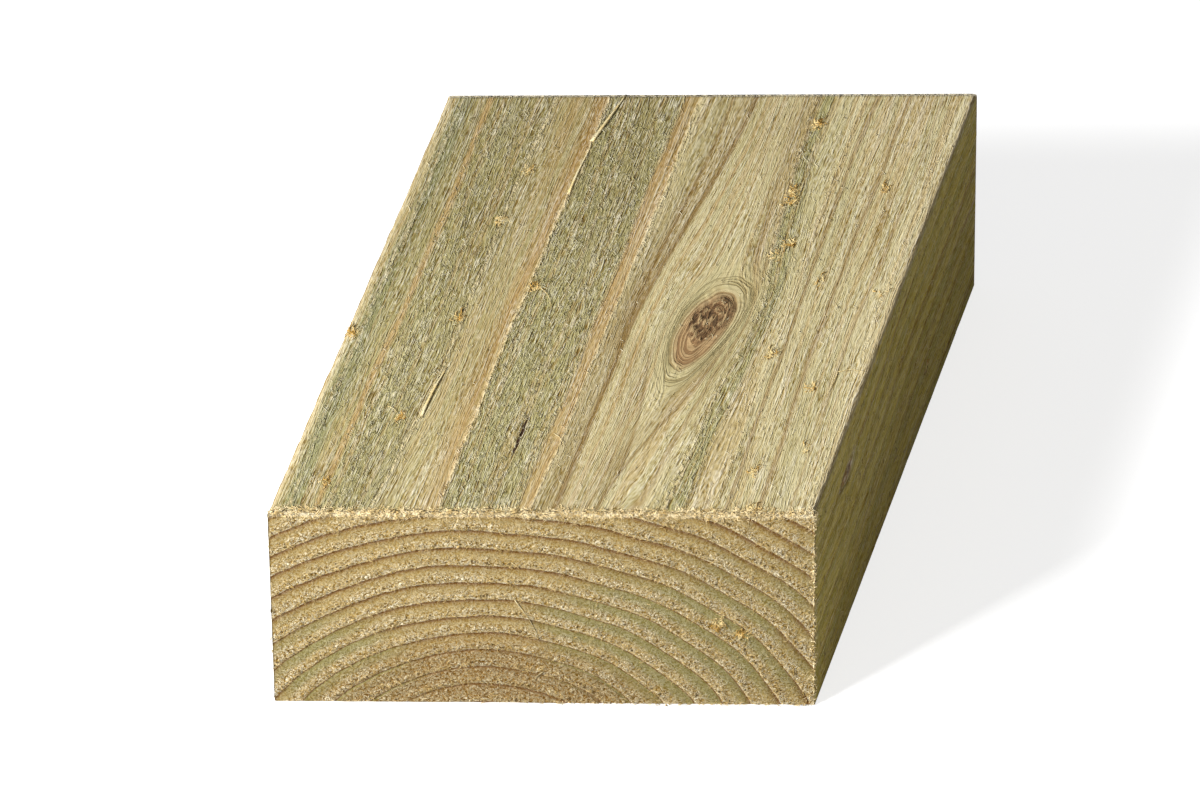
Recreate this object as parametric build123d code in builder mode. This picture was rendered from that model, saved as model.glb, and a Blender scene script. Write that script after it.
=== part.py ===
"""A length of sawn softwood stud: one rectangular stick with eased long edges and square sawn ends.

X runs across the wide face, Y along the grain and Z through the thickness.
The origin is under the middle of the stud, on the face that it rests on.
"""

import os

from build123d import *

# Driving dimensions, in millimetres
STUD_WIDTH = 100.0  # across the wide face
STUD_THICKNESS = 47.0  # between the two wide faces
STUD_LENGTH = 110.0  # along the grain, from sawn end to sawn end
UPPER_ARRIS_RADIUS = 1.5  # eased long edges of the upper wide face
LOWER_ARRIS_RADIUS = 0.8  # sharper long edges of the face that it rests on

# The stud is sawn from one log, so it is one solid: its section, run along the grain
with BuildPart() as stud:
    with BuildSketch(Plane.XZ) as section:
        Rectangle(STUD_WIDTH, STUD_THICKNESS, align=(Align.CENTER, Align.MIN))
        lower_corners, upper_corners = section.vertices().group_by(Axis.Y)
        fillet(upper_corners, UPPER_ARRIS_RADIUS)
        fillet(lower_corners, LOWER_ARRIS_RADIUS)
    extrude(amount=STUD_LENGTH / 2, both=True)

stud.part.label = "stud"
os.makedirs("parts", exist_ok=True)
export_step(stud.part, "parts/stud.step")
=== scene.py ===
"""Looks of a short length of treated softwood stud: torn end grain, fuzzy sawn faces, knots and loose fibres.

Sizes are millimetres in the part's own frame: X across the wide face, Y along the grain and Z through the
thickness, with the origin under the middle of the stud. Meshes are written in metres.
"""

import logging
import math
from dataclasses import dataclass, field
from enum import Enum
from typing import Any, Sequence, Union

import bmesh
import bpy
import numpy as np
from mathutils import Matrix, Vector


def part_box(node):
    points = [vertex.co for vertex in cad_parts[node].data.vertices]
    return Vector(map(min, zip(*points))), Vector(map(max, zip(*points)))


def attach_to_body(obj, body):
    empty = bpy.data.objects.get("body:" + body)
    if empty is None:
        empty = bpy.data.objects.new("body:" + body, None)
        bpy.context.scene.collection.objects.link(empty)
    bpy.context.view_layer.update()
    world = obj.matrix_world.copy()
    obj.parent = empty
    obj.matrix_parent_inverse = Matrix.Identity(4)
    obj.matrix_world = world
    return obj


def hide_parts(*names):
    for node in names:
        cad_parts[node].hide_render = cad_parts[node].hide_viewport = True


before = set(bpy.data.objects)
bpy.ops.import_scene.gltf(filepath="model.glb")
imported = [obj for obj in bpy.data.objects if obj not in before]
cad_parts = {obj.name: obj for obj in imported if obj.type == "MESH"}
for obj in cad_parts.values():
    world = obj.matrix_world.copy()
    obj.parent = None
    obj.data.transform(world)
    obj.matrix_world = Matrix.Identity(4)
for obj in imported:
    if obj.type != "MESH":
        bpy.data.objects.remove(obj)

LOG = logging.getLogger("stud")
MM = 0.001  # one millimetre, in metres
NODE = "stud"
BODY = "root"
STICK = "stud_timber"


class Seed(Enum):
    """Seeds of the random draws, one for each use."""

    RELIEF = 11
    NEAR_END = 21
    FAR_END = 22
    FRINGE = 31
    UPPER_FACE = 41
    SIDE_FACE = 42
    TUFTS = 51
    SPLINTERS = 61


class Tone(Enum):
    """Colours of the timber, and tints for the shade and highlights painted on it, as sRGB bytes."""

    ARRIS = (214, 194, 150)
    STRAW = (208, 195, 148)
    CREAM = (250, 243, 222)
    PALE = (232, 218, 174)
    TAN = (186, 173, 124)
    ORANGE = (186, 156, 101)
    BROWN = (158, 132, 84)
    OLIVE = (172, 162, 110)
    GREEN = (173, 166, 114)
    SAGE = (149, 148, 101)
    # Multiplied in: painted shade in the hollows and towards the far end of the upper face, darker wood round
    # the pith, and a darker upper left edge.
    HOLLOW = (182, 162, 95)
    SHADE = (104, 78, 36)
    LATE_LINE = (106, 71, 29)
    END_TAN = (179, 152, 91)
    END_SMOOTH = (167, 142, 82)
    END_DEEP = (140, 112, 55)
    END_PALE = (219, 193, 135)
    FRINGE = (252, 232, 184)
    END_GREEN = (134, 127, 74)
    END_PITH = (160, 121, 57)
    END_TIP = (255, 243, 210)
    SIDE_STRAW = (220, 202, 148)
    SIDE_TAN = (206, 185, 130)
    SIDE_OLIVE = (188, 174, 118)
    SIDE_BROWN = (170, 142, 88)
    # Multiplied over the shaded right edge face as painted warm shade.
    WARM_SHADE = (255, 252, 178)
    SEAM = (142, 116, 66)
    KNOT_RING = (138, 118, 74)
    KNOT_RIM = (174, 134, 92)
    KNOT_HEART = (176, 150, 108)
    KNOT_CORE = (124, 92, 60)
    KNOT_PIT = (64, 44, 28)
    AMBER = (190, 152, 78)
    SPLINTER = (234, 210, 150)

    @property
    def linear(self) -> tuple[float, float, float, float]:
        """The tone as linear RGBA."""
        parts = [c / 255 for c in self.value]
        return (*(p / 12.92 if p <= 0.04045 else ((p + 0.055) / 1.055) ** 2.4 for p in parts), 1.0)

    def stop(self, place: float, alpha: float) -> tuple[float, tuple[float, float, float, float]]:
        """The tone as a ramp stop, with a number in its alpha."""
        return place, (*self.linear[:3], alpha)


class Graph:
    """A material's or world's node tree, with one method that adds any node."""

    def __init__(self, tree: bpy.types.NodeTree) -> None:
        """Starts from an empty tree."""
        self.tree = tree
        tree.nodes.clear()

    @classmethod
    def for_material(cls, name: str) -> tuple[bpy.types.Material, "Graph"]:
        """A new material, and the graph of its nodes.

        Args:
            name: The material's name.

        Returns:
            The material and its empty graph.
        """
        made = bpy.data.materials.new(name)
        made.use_nodes = True
        return made, cls(made.node_tree)

    def node(
        self, kind: str, settings: dict[str, Any], sockets: dict[Union[str, int], Any]
    ) -> bpy.types.Node:
        """Adds a node.

        Args:
            kind: The node's type name, without its ShaderNode prefix.
            settings: The node's own properties, and under "stops" a ramp's (place, colour) pairs.
            sockets: The value or link of each input, by its name or number.

        Returns:
            The new node.
        """
        made = self.tree.nodes.new("ShaderNode" + kind)
        for name, value in settings.items():
            if name == "stops":
                self._stops(made.color_ramp, value)
            else:
                setattr(made, name, value)
        for key, value in sockets.items():
            source = value.socket if isinstance(value, Value) else value
            if isinstance(source, bpy.types.NodeSocket):
                self.tree.links.new(source, made.inputs[key])
            else:
                made.inputs[key].default_value = source
        return made

    @staticmethod
    def _stops(ramp: bpy.types.ColorRamp, stops: Sequence[tuple[float, Sequence[float]]]) -> None:
        """Gives a colour ramp its stops, in order.

        Args:
            ramp: A node's colour ramp.
            stops: Places and colours of the stops.
        """
        while len(ramp.elements) < len(stops):
            ramp.elements.new(1.0)
        for element, (place, colour) in zip(ramp.elements, stops):
            element.position = place
            element.color = colour

    def place(self) -> tuple["Value", "Value", "Value"]:
        """The surface point's X, Y and Z in millimetres.

        Returns:
            The three coordinates.
        """
        here = self.node("TexCoord", {}, {}).outputs["Object"]
        in_mm = self.node("VectorMath", {"operation": "SCALE"}, {0: here, "Scale": 1 / MM}).outputs[0]
        split = self.node("SeparateXYZ", {}, {0: in_mm})
        return tuple(Value(self, socket) for socket in split.outputs)

    def vector(self, x: Any, y: Any, z: Any) -> bpy.types.NodeSocket:
        """Three numbers as a vector."""
        return self.node("CombineXYZ", {}, {0: x, 1: y, 2: z}).outputs[0]

    def noise(self, x: Any, y: Any, z: Any, detail: float = 2.0, distortion: float = 0.0) -> "Value":
        """Smooth noise, from 0 to 1, whose cells are one unit of the given coordinates.

        Args:
            x: First coordinate, in cells.
            y: Second coordinate, in cells.
            z: Third coordinate, in cells.
            detail: How many finer layers are added.
            distortion: How far the pattern curls.

        Returns:
            The noise value.
        """
        sockets = {"Vector": self.vector(x, y, z), "Scale": 1.0, "Detail": detail, "Distortion": distortion}
        return Value(self, self.node("TexNoise", {}, sockets).outputs[0])

    def cells(
        self, place: Sequence["Value"], pace: float, detail: float = 2.0, distortion: float = 0.0
    ) -> "Value":
        """Smooth noise with the same number of cells to a millimetre along all three axes."""
        return self.noise(*(axis * pace for axis in place), detail, distortion)

    def specks(self, x: Any, y: Any, z: Any) -> "Value":
        """Distance to the nearest of scattered points, one to a cell."""
        made = self.node("TexVoronoi", {"feature": "F1"}, {"Vector": self.vector(x, y, z), "Scale": 1.0})
        return Value(self, made.outputs["Distance"])

    def ramp(self, value: "Value", stops: Sequence[tuple[float, Sequence[float]]]) -> tuple[Any, "Value"]:
        """A colour ramp's colour, and its alpha as a number."""
        made = self.node("ValToRGB", {"stops": stops}, {0: value})
        return made.outputs[0], Value(self, made.outputs[1])

    def mix(self, factor: Any, first: Any, second: Any) -> bpy.types.NodeSocket:
        """A colour between two colours."""
        made = self.node("Mix", {"data_type": "RGBA", "clamp_factor": True}, {0: factor, 6: first, 7: second})
        return made.outputs[2]

    def lay(self, colour: Any, *coats: tuple[Any, "Tone"]) -> Any:
        """A colour with tones laid over it in order, each as strongly as its number says.

        Args:
            colour: The colour below.
            coats: Strengths from 0 to 1, each with its tone.

        Returns:
            The colour on top.
        """
        for strength, tone in coats:
            colour = self.mix(strength, colour, tone.linear)
        return colour

    def stain(self, factor: Any, colour: Any, tone: "Tone") -> bpy.types.NodeSocket:
        """A colour multiplied by a tone, as far as the factor says."""
        settings = {"data_type": "RGBA", "blend_type": "MULTIPLY", "clamp_factor": True}
        return self.node("Mix", settings, {0: factor, 6: colour, 7: tone.linear}).outputs[2]

    def scale(self, colour: Any, factor: "Value") -> bpy.types.NodeSocket:
        """A colour made lighter or darker by a factor."""
        return self.node("VectorMath", {"operation": "SCALE"}, {0: colour, "Scale": factor}).outputs[0]

    def surface(self, colour: Any, roughness: Any, height_mm: "Value", gloss: float) -> None:
        """Ends the tree in a shader with relief.

        Args:
            colour: Base colour.
            roughness: Roughness, from 0 to 1.
            height_mm: Height of the fine relief, in millimetres.
            gloss: Specular level, the same all over.
        """
        bump = self.node("Bump", {}, {"Height": height_mm, "Distance": MM, "Strength": 1.0})
        sockets = {
            "Base Color": colour,
            "Roughness": roughness,
            "Specular IOR Level": gloss,
            "Normal": bump.outputs[0],
        }
        shader = self.node("BsdfPrincipled", {}, sockets)
        self.node("OutputMaterial", {}, {0: shader.outputs[0]})


class Value:
    """A number socket of a node tree, on which arithmetic adds Math nodes."""

    def __init__(self, graph: Graph, socket: bpy.types.NodeSocket) -> None:
        """Wraps a socket."""
        self.graph = graph
        self.socket = socket

    def math(self, operation: str, *others: Any) -> "Value":
        """The result of a Math node on this value and the others."""
        return Value.of(self.graph, operation, self, *others)

    @staticmethod
    def of(graph: Graph, operation: str, *values: Any) -> "Value":
        """The result of a Math node on the given values."""
        made = graph.node("Math", {"operation": operation}, dict(enumerate(values)))
        return Value(graph, made.outputs[0])

    def __add__(self, other: Any) -> "Value":
        """This plus the other."""
        return self.math("ADD", other)

    __radd__ = __add__

    def __sub__(self, other: Any) -> "Value":
        """This less the other."""
        return self.math("SUBTRACT", other)

    def __rsub__(self, other: Any) -> "Value":
        """The other less this."""
        return Value.of(self.graph, "SUBTRACT", other, self)

    def __mul__(self, other: Any) -> "Value":
        """This times the other."""
        return self.math("MULTIPLY", other)

    __rmul__ = __mul__

    def __truediv__(self, other: Any) -> "Value":
        """This over the other."""
        return self.math("DIVIDE", other)

    def __rtruediv__(self, other: Any) -> "Value":
        """The other over this."""
        return Value.of(self.graph, "DIVIDE", other, self)

    def __neg__(self) -> "Value":
        """This with its sign turned."""
        return self * -1.0

    def __abs__(self) -> "Value":
        """This without its sign."""
        return self.math("ABSOLUTE")


Number = Union[float, np.ndarray, Value]


def root(value: Number) -> Number:
    """Square root of an array or a node value."""
    return value.math("SQRT") if isinstance(value, Value) else np.sqrt(value)


def sine(value: Number) -> Number:
    """Sine of an array or a node value."""
    return value.math("SINE") if isinstance(value, Value) else np.sin(value)


def larger(value: Number, floor: Number) -> Number:
    """The larger of two, of arrays or node values."""
    return value.math("MAXIMUM", floor) if isinstance(value, Value) else np.maximum(value, floor)


def fraction(value: Number) -> Number:
    """Part of an array or a node value past its whole number."""
    return value.math("FRACT") if isinstance(value, Value) else value - np.floor(value)


def bell(value: Number) -> Number:
    """A smooth hump that is 1 at zero and falls away on both sides."""
    squared = -(value * value)
    return squared.math("EXPONENT") if isinstance(value, Value) else np.exp(squared)


def rise(value: Number, low: float, high: float) -> Number:
    """A smooth step from 0 at low to 1 at high.

    Args:
        value: An array or a node value.
        low: Where the step starts.
        high: Where it ends.

    Returns:
        The step's height at each value.
    """
    if isinstance(value, Value):
        sockets = {"Value": value, "From Min": low, "From Max": high}
        made = value.graph.node("MapRange", {"interpolation_type": "SMOOTHSTEP"}, sockets)
        return Value(value.graph, made.outputs[0])
    share = np.clip((value - low) / (high - low), 0.0, 1.0)
    return share * share * (3.0 - 2.0 * share)


def nearing(value: Number, edge: float, fade: tuple[float, float]) -> Number:
    """A smooth step from 0 to 1 as a value nears an edge, between two distances from it."""
    return rise(value, edge - fade[0], edge - fade[1])


def add_object(name: str, data: Any) -> bpy.types.Object:
    """Puts a new object into the scene, at the origin.

    Args:
        name: The object's name.
        data: Its mesh, light or camera, or None for an empty.

    Returns:
        The object.
    """
    made = bpy.data.objects.new(name, data)
    bpy.context.scene.collection.objects.link(made)
    return made


def read_vectors(items: Any, name: str) -> np.ndarray:
    """One vector of each vertex or face of a mesh, as rows.

    Args:
        items: The mesh's vertices or polygons.
        name: The vector's property.

    Returns:
        The vectors, in the mesh's own order.
    """
    values = np.empty(len(items) * 3, np.float32)
    items.foreach_get(name, values)
    return values.reshape(-1, 3).astype(float)


class LatticeNoise:
    """Smooth seeded noise for whole arrays of points, from -1 to 1."""

    SIDE = 64

    def __init__(self, seed: int) -> None:
        """Fills the lattice from a seed."""
        self.lattice = np.random.default_rng(seed).uniform(-1.0, 1.0, (self.SIDE,) * 3)

    def __call__(self, x: np.ndarray, y: np.ndarray, z: np.ndarray) -> np.ndarray:
        """Noise at points given in lattice cells.

        Args:
            x: First coordinates.
            y: Second coordinates.
            z: Third coordinates.

        Returns:
            One value for each point.
        """
        points = np.stack(np.broadcast_arrays(x, y, z), axis=-1)
        cell = np.floor(points).astype(int)
        part = points - cell
        part = part * part * (3.0 - 2.0 * part)
        total = np.zeros(points.shape[:-1])
        for corner in np.ndindex(2, 2, 2):
            at = (cell + corner) % self.SIDE
            weight = np.prod(np.where(corner, part, 1.0 - part), axis=-1)
            total += weight * self.lattice[at[..., 0], at[..., 1], at[..., 2]]
        return total


@dataclass(frozen=True)
class GrowthRings:
    """Where the growth rings lie in the log that the stud was sawn from."""

    pith_x: float = -10.9
    pith_z: float = -18.6
    upright_stretch: float = 1.116
    first_radius: float = 30.4
    first_number: float = 8.0
    spacing: float = 4.63
    # Height of each wave of the rings, and its pace across, along and through the timber.
    waves: tuple[tuple[float, float, float, float], ...] = (
        (0.4, 0.11, 0.02, 0.05),
        (0.2, 0.27, 0.05, -0.17),
        (0.06, 0.83, 0.11, 0.61),
    )

    def count(self, x: Number, y: Number, z: Number) -> Number:
        """How many rings lie between a point and the pith, as a number with a fraction.

        Args:
            x: Places across the face.
            y: Places along the grain.
            z: Places through the thickness.

        Returns:
            The ring count, whose whole steps are the dark late-season lines.
        """
        dx = x - self.pith_x
        dz = (z - self.pith_z) * self.upright_stretch
        radius = root(dx * dx + dz * dz)
        for height, across, along, upright in self.waves:
            radius = radius + height * sine(x * across + z * upright + y * along)
        return (radius - self.first_radius) / self.spacing + self.first_number


@dataclass(frozen=True)
class Knot:
    """A sawn-through branch on one face, and the grain that parts round it.

    Reaches are shares of the knot's own half width and half length, where 1 is the rim of its body.
    """

    across: float
    along: float
    half_width: float
    half_length: float
    lean: float = 0.0
    egg: float = 0.22
    least_taper: float = 0.4
    flow: float = 1.08
    halo: tuple[float, float] = (1.1, 1.75)
    calm_fade: tuple[float, float] = (1.25, 1.95)
    rim: tuple[float, float] = (0.75, 1.05)
    rim_wobble: float = 0.24
    heart: float = 0.75
    heart_fade: tuple[float, float] = (-0.15, 0.12)
    heart_rise: float = 0.25
    heart_squash: float = 1.4
    heart_wobble: float = 0.6
    heart_relief: float = 1.1
    ring_cells: float = 3.0
    ring_arc: float = 1.6
    ring_relief: float = 0.12

    def offsets(self, across: Number, along: Number) -> tuple[Number, Number]:
        """Places from the knot's leaning axis and from its middle, in half widths and half lengths.

        Args:
            across: Places across the grain.
            along: Places along the grain.

        Returns:
            The places across and along.
        """
        run = along - self.along
        taper = larger(1.0 + self.egg * run / self.half_length, self.least_taper)
        return (across - self.across - self.lean * run) / taper / self.half_width, run / self.half_length

    def spread(self, across: Number, along: Number) -> Number:
        """How far out a place lies, where 1 is the rim of the body."""
        wide, long = self.offsets(across, along)
        return root(wide * wide + long * long)

    def inward(self, across: Number, along: Number) -> Number:
        """How far a place lies from the middle of the pitted heart, in half widths.

        Args:
            across: Places across the grain.
            along: Places along the grain.

        Returns:
            The distance.
        """
        wide, long = self.offsets(across, along)
        upper = (long - self.heart_rise) * self.heart_squash
        return root(wide * wide + upper * upper)

    def part_grain(self, across: Number, along: Number) -> Number:
        """The line of grain that passes a place, by where that line lies far from the knot.

        Args:
            across: Places across the grain.
            along: Places along the grain.

        Returns:
            Places across the grain, straightened.
        """
        wide, _ = self.offsets(across, along)
        share = self.spread(across, along) / self.flow
        return across - wide * self.half_width / larger(share * share * share, 1.0)

    def paint(self, graph: Graph, colour: Any, across: Value, along: Value, here: Value) -> tuple[Any, Value]:
        """Lays the knot's rings, rim and pitted heart over a face's colour.

        Args:
            graph: The material's node tree.
            colour: The face's colour.
            across: Places across the grain.
            along: Places along the grain.
            here: 1 on the knot's own face and 0 elsewhere.

        Returns:
            The colour with the knot in it, and the knot's relief in millimetres.
        """
        wide, long = self.offsets(across, along)
        wobble = graph.noise(wide * 1.3, long * 1.6, 2.0, 2.0) - 0.5
        spread = self.spread(across, along)
        reach = spread + wobble * self.rim_wobble
        inner = self.inward(across, along) + wobble * self.heart_wobble
        body = (1.0 - rise(reach, *self.rim)) * here
        heart = (1.0 - rise(inner, *(self.heart + step for step in self.heart_fade))) * here
        halo = (1.0 - rise(reach, *self.halo)) * here
        arc = larger(spread, 0.2) * self.ring_arc
        layers = graph.noise(reach * self.half_width * self.ring_cells, wide / arc, long / arc, 1.0)
        dark = rise(layers, 0.5, 0.6)
        pale = rise(1.0 - layers, 0.52, 0.64)
        colour = graph.lay(
            colour,
            (halo * 0.5, Tone.TAN),
            (halo * dark * 0.6, Tone.KNOT_RING),
            (halo * pale * 0.3, Tone.PALE),
            (body * 0.7, Tone.KNOT_RIM),
            (body * dark * 0.6, Tone.KNOT_CORE),
        )
        grit = graph.noise(wide * 6.5, long * 6.0, 4.0, 3.0, 0.5)
        # The heart's dark pits lie in the low parts of its relief and are painted shade; its brown and pale
        # flecks are its own colour.
        pitted = graph.lay(
            Tone.KNOT_CORE.linear,
            (rise(grit, 0.48, 0.58), Tone.KNOT_HEART),
            (rise(1.0 - grit, 0.53, 0.61), Tone.KNOT_PIT),
        )
        colour = graph.mix(heart * 0.85, colour, pitted)
        return colour, heart * grit * self.heart_relief - halo * dark * self.ring_relief

    def calm(self, across: Number, along: Number) -> Number:
        """How free a place is of the knot, from 0 in its rings to 1 outside them."""
        return rise(self.spread(across, along), *self.calm_fade)


@dataclass(frozen=True)
class Band:
    """A point in the run of lengthwise bands across the upper face."""

    place: float
    tone: Tone
    fuzz: float


@dataclass(frozen=True)
class GrainLine:
    """A thin lengthwise line of colour on the upper face."""

    place: float
    half_width: float
    tone: Tone
    strength: float


@dataclass(frozen=True)
class Seam:
    """A dark ring line that swings sideways as it passes the knot."""

    place: float
    swing: float
    start: float
    end: float
    near: float
    far: float
    half_width: float
    strength: float
    fade: float = 5.0
    flank: float = 0.4
    flank_width: float = 1.8

    def shift(self, y: Number) -> Number:
        """How far the line has swung from its own place."""
        return self.swing * rise(y, self.start, self.end)

    def off(self, x: Number, y: Number) -> Number:
        """Distance across to the line."""
        return x - self.place - self.shift(y)

    def shade(self, x: Number, y: Number) -> Number:
        """How dark the line is at a place, from 0 to 1.

        Args:
            x: Places across the face.
            y: Places along the grain.

        Returns:
            The darkness.
        """
        seen = rise(y, self.near - self.fade, self.near) * (1.0 - rise(y, self.far, self.far + self.fade))
        off = self.off(x, y)
        line = bell(off / self.half_width) + self.flank * bell(off / self.flank_width + 1.0)
        return line * seen * self.strength


@dataclass(frozen=True)
class Lip:
    """A ragged raised edge along the grain, with dark pits on one side of it."""

    place: float
    height: float
    strength: float
    pit_side: float


@dataclass(frozen=True)
class UpperFaceLayout:
    """The bands, lines, lips, knot and split of the wide upper face."""

    half_width: float = 50.0
    knot: Knot = Knot(across=16.1, along=-8.0, half_width=4.7, half_length=11.0, lean=0.13, ring_cells=4.4)
    left_seam: Seam = Seam(2.5, 6.2, -12.0, 55.0, -60.0, 60.0, 0.5, 1.0)
    left_twin: Seam = Seam(1.9, 2.6, -5.0, 50.0, -10.0, 60.0, 0.4, 0.55)
    right_seam: Seam = Seam(23.4, -2.9, -5.0, 55.0, 2.0, 60.0, 0.4, 0.55)
    tail_seam: Seam = Seam(10.0, 11.5, -55.0, -8.0, -60.0, -15.0, 0.36, 0.65)
    tail_twin: Seam = Seam(11.3, -3.2, -38.0, -8.0, -42.0, -13.0, 0.34, 0.5)
    slit_x: float = -9.3
    slit_y: float = -35.0
    slit_half_length: float = 4.2
    slit_half_width: float = 0.27
    slit_depth: float = 0.15
    slit_sway: float = 0.06
    slit_sway_pace: float = 1.9
    lip_half_width: float = 0.32
    lip_reach: float = 1.6
    pit_step: float = 1.5
    seam_reach: float = 6.0
    tail_slope: float = 0.15
    tail_start: float = -16.0
    tail_x: float = 12.0
    tail_reach: float = 7.5
    lean_slope: float = 0.03
    lean_from: tuple[float, float] = (26.0, 31.0)
    drift_slope: float = 0.06
    drift_start: float = -17.0
    drift_x: float = -29.5
    drift_reach: float = 5.0
    # Height of each slow wave of the grain, and its pace along and across the face.
    sways: tuple[tuple[float, float, float], ...] = ((0.3, 0.06, 0.21), (0.12, 0.19, 0.8), (0.05, 0.47, 1.7))
    bands: tuple[Band, ...] = (
        Band(-50.0, Tone.ARRIS, 0.3),
        Band(-47.8, Tone.STRAW, 0.4),
        Band(-47.0, Tone.SAGE, 0.6),
        Band(-44.6, Tone.SAGE, 0.5),
        Band(-43.8, Tone.OLIVE, 0.5),
        Band(-41.4, Tone.OLIVE, 0.4),
        Band(-39.8, Tone.OLIVE, 0.8),
        Band(-36.5, Tone.GREEN, 1.0),
        Band(-33.5, Tone.OLIVE, 0.8),
        Band(-29.2, Tone.OLIVE, 0.8),
        Band(-28.4, Tone.TAN, 0.35),
        Band(-22.0, Tone.TAN, 0.25),
        Band(-20.8, Tone.ORANGE, 0.15),
        Band(-19.1, Tone.ORANGE, 0.15),
        Band(-18.6, Tone.GREEN, 1.0),
        Band(-14.0, Tone.GREEN, 1.0),
        Band(-9.0, Tone.OLIVE, 0.9),
        Band(-4.6, Tone.GREEN, 0.9),
        Band(-4.1, Tone.ORANGE, 0.2),
        Band(-1.9, Tone.ORANGE, 0.15),
        Band(-1.5, Tone.STRAW, 0.3),
        Band(2.2, Tone.STRAW, 0.25),
        Band(4.0, Tone.STRAW, 0.15),
        Band(21.0, Tone.STRAW, 0.2),
        Band(22.8, Tone.TAN, 0.6),
        Band(23.8, Tone.GREEN, 0.8),
        Band(25.8, Tone.GREEN, 0.7),
        Band(26.6, Tone.STRAW, 0.35),
        Band(40.0, Tone.STRAW, 0.2),
        Band(50.0, Tone.PALE, 0.2),
    )
    lines: tuple[GrainLine, ...] = (
        GrainLine(-40.7, 0.9, Tone.ORANGE, 1.0),
        GrainLine(-24.4, 0.4, Tone.ORANGE, 0.4),
        GrainLine(-2.9, 0.3, Tone.PALE, 0.25),
        GrainLine(0.2, 0.6, Tone.SAGE, 0.25),
        GrainLine(6.6, 0.5, Tone.ORANGE, 0.7),
        GrainLine(12.2, 0.5, Tone.ORANGE, 0.6),
        GrainLine(20.4, 0.5, Tone.BROWN, 0.7),
        GrainLine(31.4, 0.55, Tone.BROWN, 1.0),
        GrainLine(37.2, 0.55, Tone.BROWN, 1.0),
        GrainLine(43.4, 0.4, Tone.BROWN, 0.5),
    )
    lips: tuple[Lip, ...] = (
        Lip(-46.3, 0.12, 0.5, -1.0),
        Lip(-36.9, 0.06, 0.3, 1.0),
        Lip(-28.8, 0.12, 0.85, -1.0),
        Lip(-18.8, 0.12, 0.85, 1.0),
        Lip(-4.4, 0.06, 0.4, -1.0),
        Lip(-1.5, 0.08, 0.5, 1.0),
        Lip(23.2, 0.1, 0.6, 1.0),
        Lip(29.6, 0.05, 0.25, 1.0),
        Lip(46.6, 0.05, 0.3, -1.0),
    )

    @property
    def seams(self) -> tuple[Seam, ...]:
        """The ring lines that swing round the knot."""
        return self.left_seam, self.left_twin, self.right_seam, self.tail_seam, self.tail_twin

    def grain(self, x: Number, y: Number, pull: float = 1.0) -> Number:
        """The line of grain that passes a place, with the knot's bend and a slow wander taken out.

        Args:
            x: Places across the face.
            y: Places along the grain.
            pull: How much of the seams' swing the grain follows.

        Returns:
            Places across the straightened bands.
        """
        bend = self.knot.part_grain(x, y)
        for seam in (self.left_seam, self.right_seam):
            bend = bend - seam.shift(y) * bell(seam.off(x, y) / self.seam_reach) * pull
        tail = self.tail_slope * larger(self.tail_start - y, 0.0) * bell((x - self.tail_x) / self.tail_reach)
        lean = self.lean_slope * larger(-y, 0.0) * rise(x, *self.lean_from)
        drift = self.drift_slope * larger(self.drift_start - y, 0.0)
        place = bend + tail - lean + drift * bell((x - self.drift_x) / self.drift_reach)
        for height, along, across in self.sways:
            place = place + height * sine(y * along + x * across)
        return place

    def share(self, place: Number) -> Number:
        """A place across the face as a share of its width."""
        return place / (2.0 * self.half_width) + 0.5

    def band_stops(self) -> list[tuple[float, Sequence[float]]]:
        """Ramp stops of the bands, with the fuzz in alpha."""
        return [band.tone.stop(self.share(band.place), band.fuzz) for band in self.bands]

    def line_stops(self) -> list[tuple[float, Sequence[float]]]:
        """Ramp stops of the thin lines, with their strength in alpha.

        Returns:
            Places and colours of the stops.
        """
        stops = []
        for line in self.lines:
            for step, strength in ((-1.0, 0.0), (0.0, line.strength), (1.0, 0.0)):
                stops.append(line.tone.stop(self.share(line.place + step * line.half_width), strength))
        return stops

    def lip_stops(self, pits: float) -> list[tuple[float, Sequence[float]]]:
        """Ramp stops of the raised lips, or with 1 of the pits beside them, with their strength in alpha.

        Args:
            pits: 0 for the lips and 1 for the pits.

        Returns:
            Places and colours of the stops.
        """
        stops = []
        for lip in self.lips:
            middle = lip.place + pits * lip.pit_side * self.pit_step * self.lip_half_width
            for step, strength in ((-self.lip_reach, 0.0), (0.0, lip.strength), (self.lip_reach, 0.0)):
                stops.append(Tone.CREAM.stop(self.share(middle + step * self.lip_half_width), strength))
        return stops

    def fuzz(self, grain: np.ndarray) -> np.ndarray:
        """How fuzzy the face is at each line of grain."""
        return np.interp(grain, [b.place for b in self.bands], [b.fuzz for b in self.bands])

    def lip(self, grain: np.ndarray) -> np.ndarray:
        """Height of the raised lips, in millimetres."""
        return sum(lip.height * bell((grain - lip.place) / self.lip_half_width) for lip in self.lips)

    def slit(self, x: Number, y: Number, widen: float = 1.0) -> Number:
        """How deep in the short drying split a place lies, from 0 to 1.

        Args:
            x: Places across the face.
            y: Places along the grain.
            widen: How much wider it is made.

        Returns:
            The depth.
        """
        sway = self.slit_sway * sine(y * self.slit_sway_pace)
        across = (x - self.slit_x + sway) / (self.slit_half_width * widen)
        return bell(across) * bell((y - self.slit_y) / self.slit_half_length)


@dataclass(frozen=True)
class PaintedShading:
    """How strongly the painted shade in the hollows and the painted highlights on the raised tips of the sawn
    texture show, and the steps of noise at which they do.
    """

    hollow_shade: float = 0.65
    line: float = 0.45
    grit: float = 0.4
    tip: float = 0.34
    sheen: float = 0.22
    fleck_highlight: float = 0.2
    nick_shade: float = 0.5
    dash_step: tuple[float, float] = (0.54, 0.64)
    thread_step: tuple[float, float] = (0.53, 0.64)
    hair_step: tuple[float, float] = (0.54, 0.66)
    deep_dash_step: tuple[float, float] = (0.63, 0.69)
    deep_thread_step: tuple[float, float] = (0.65, 0.7)


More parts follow.
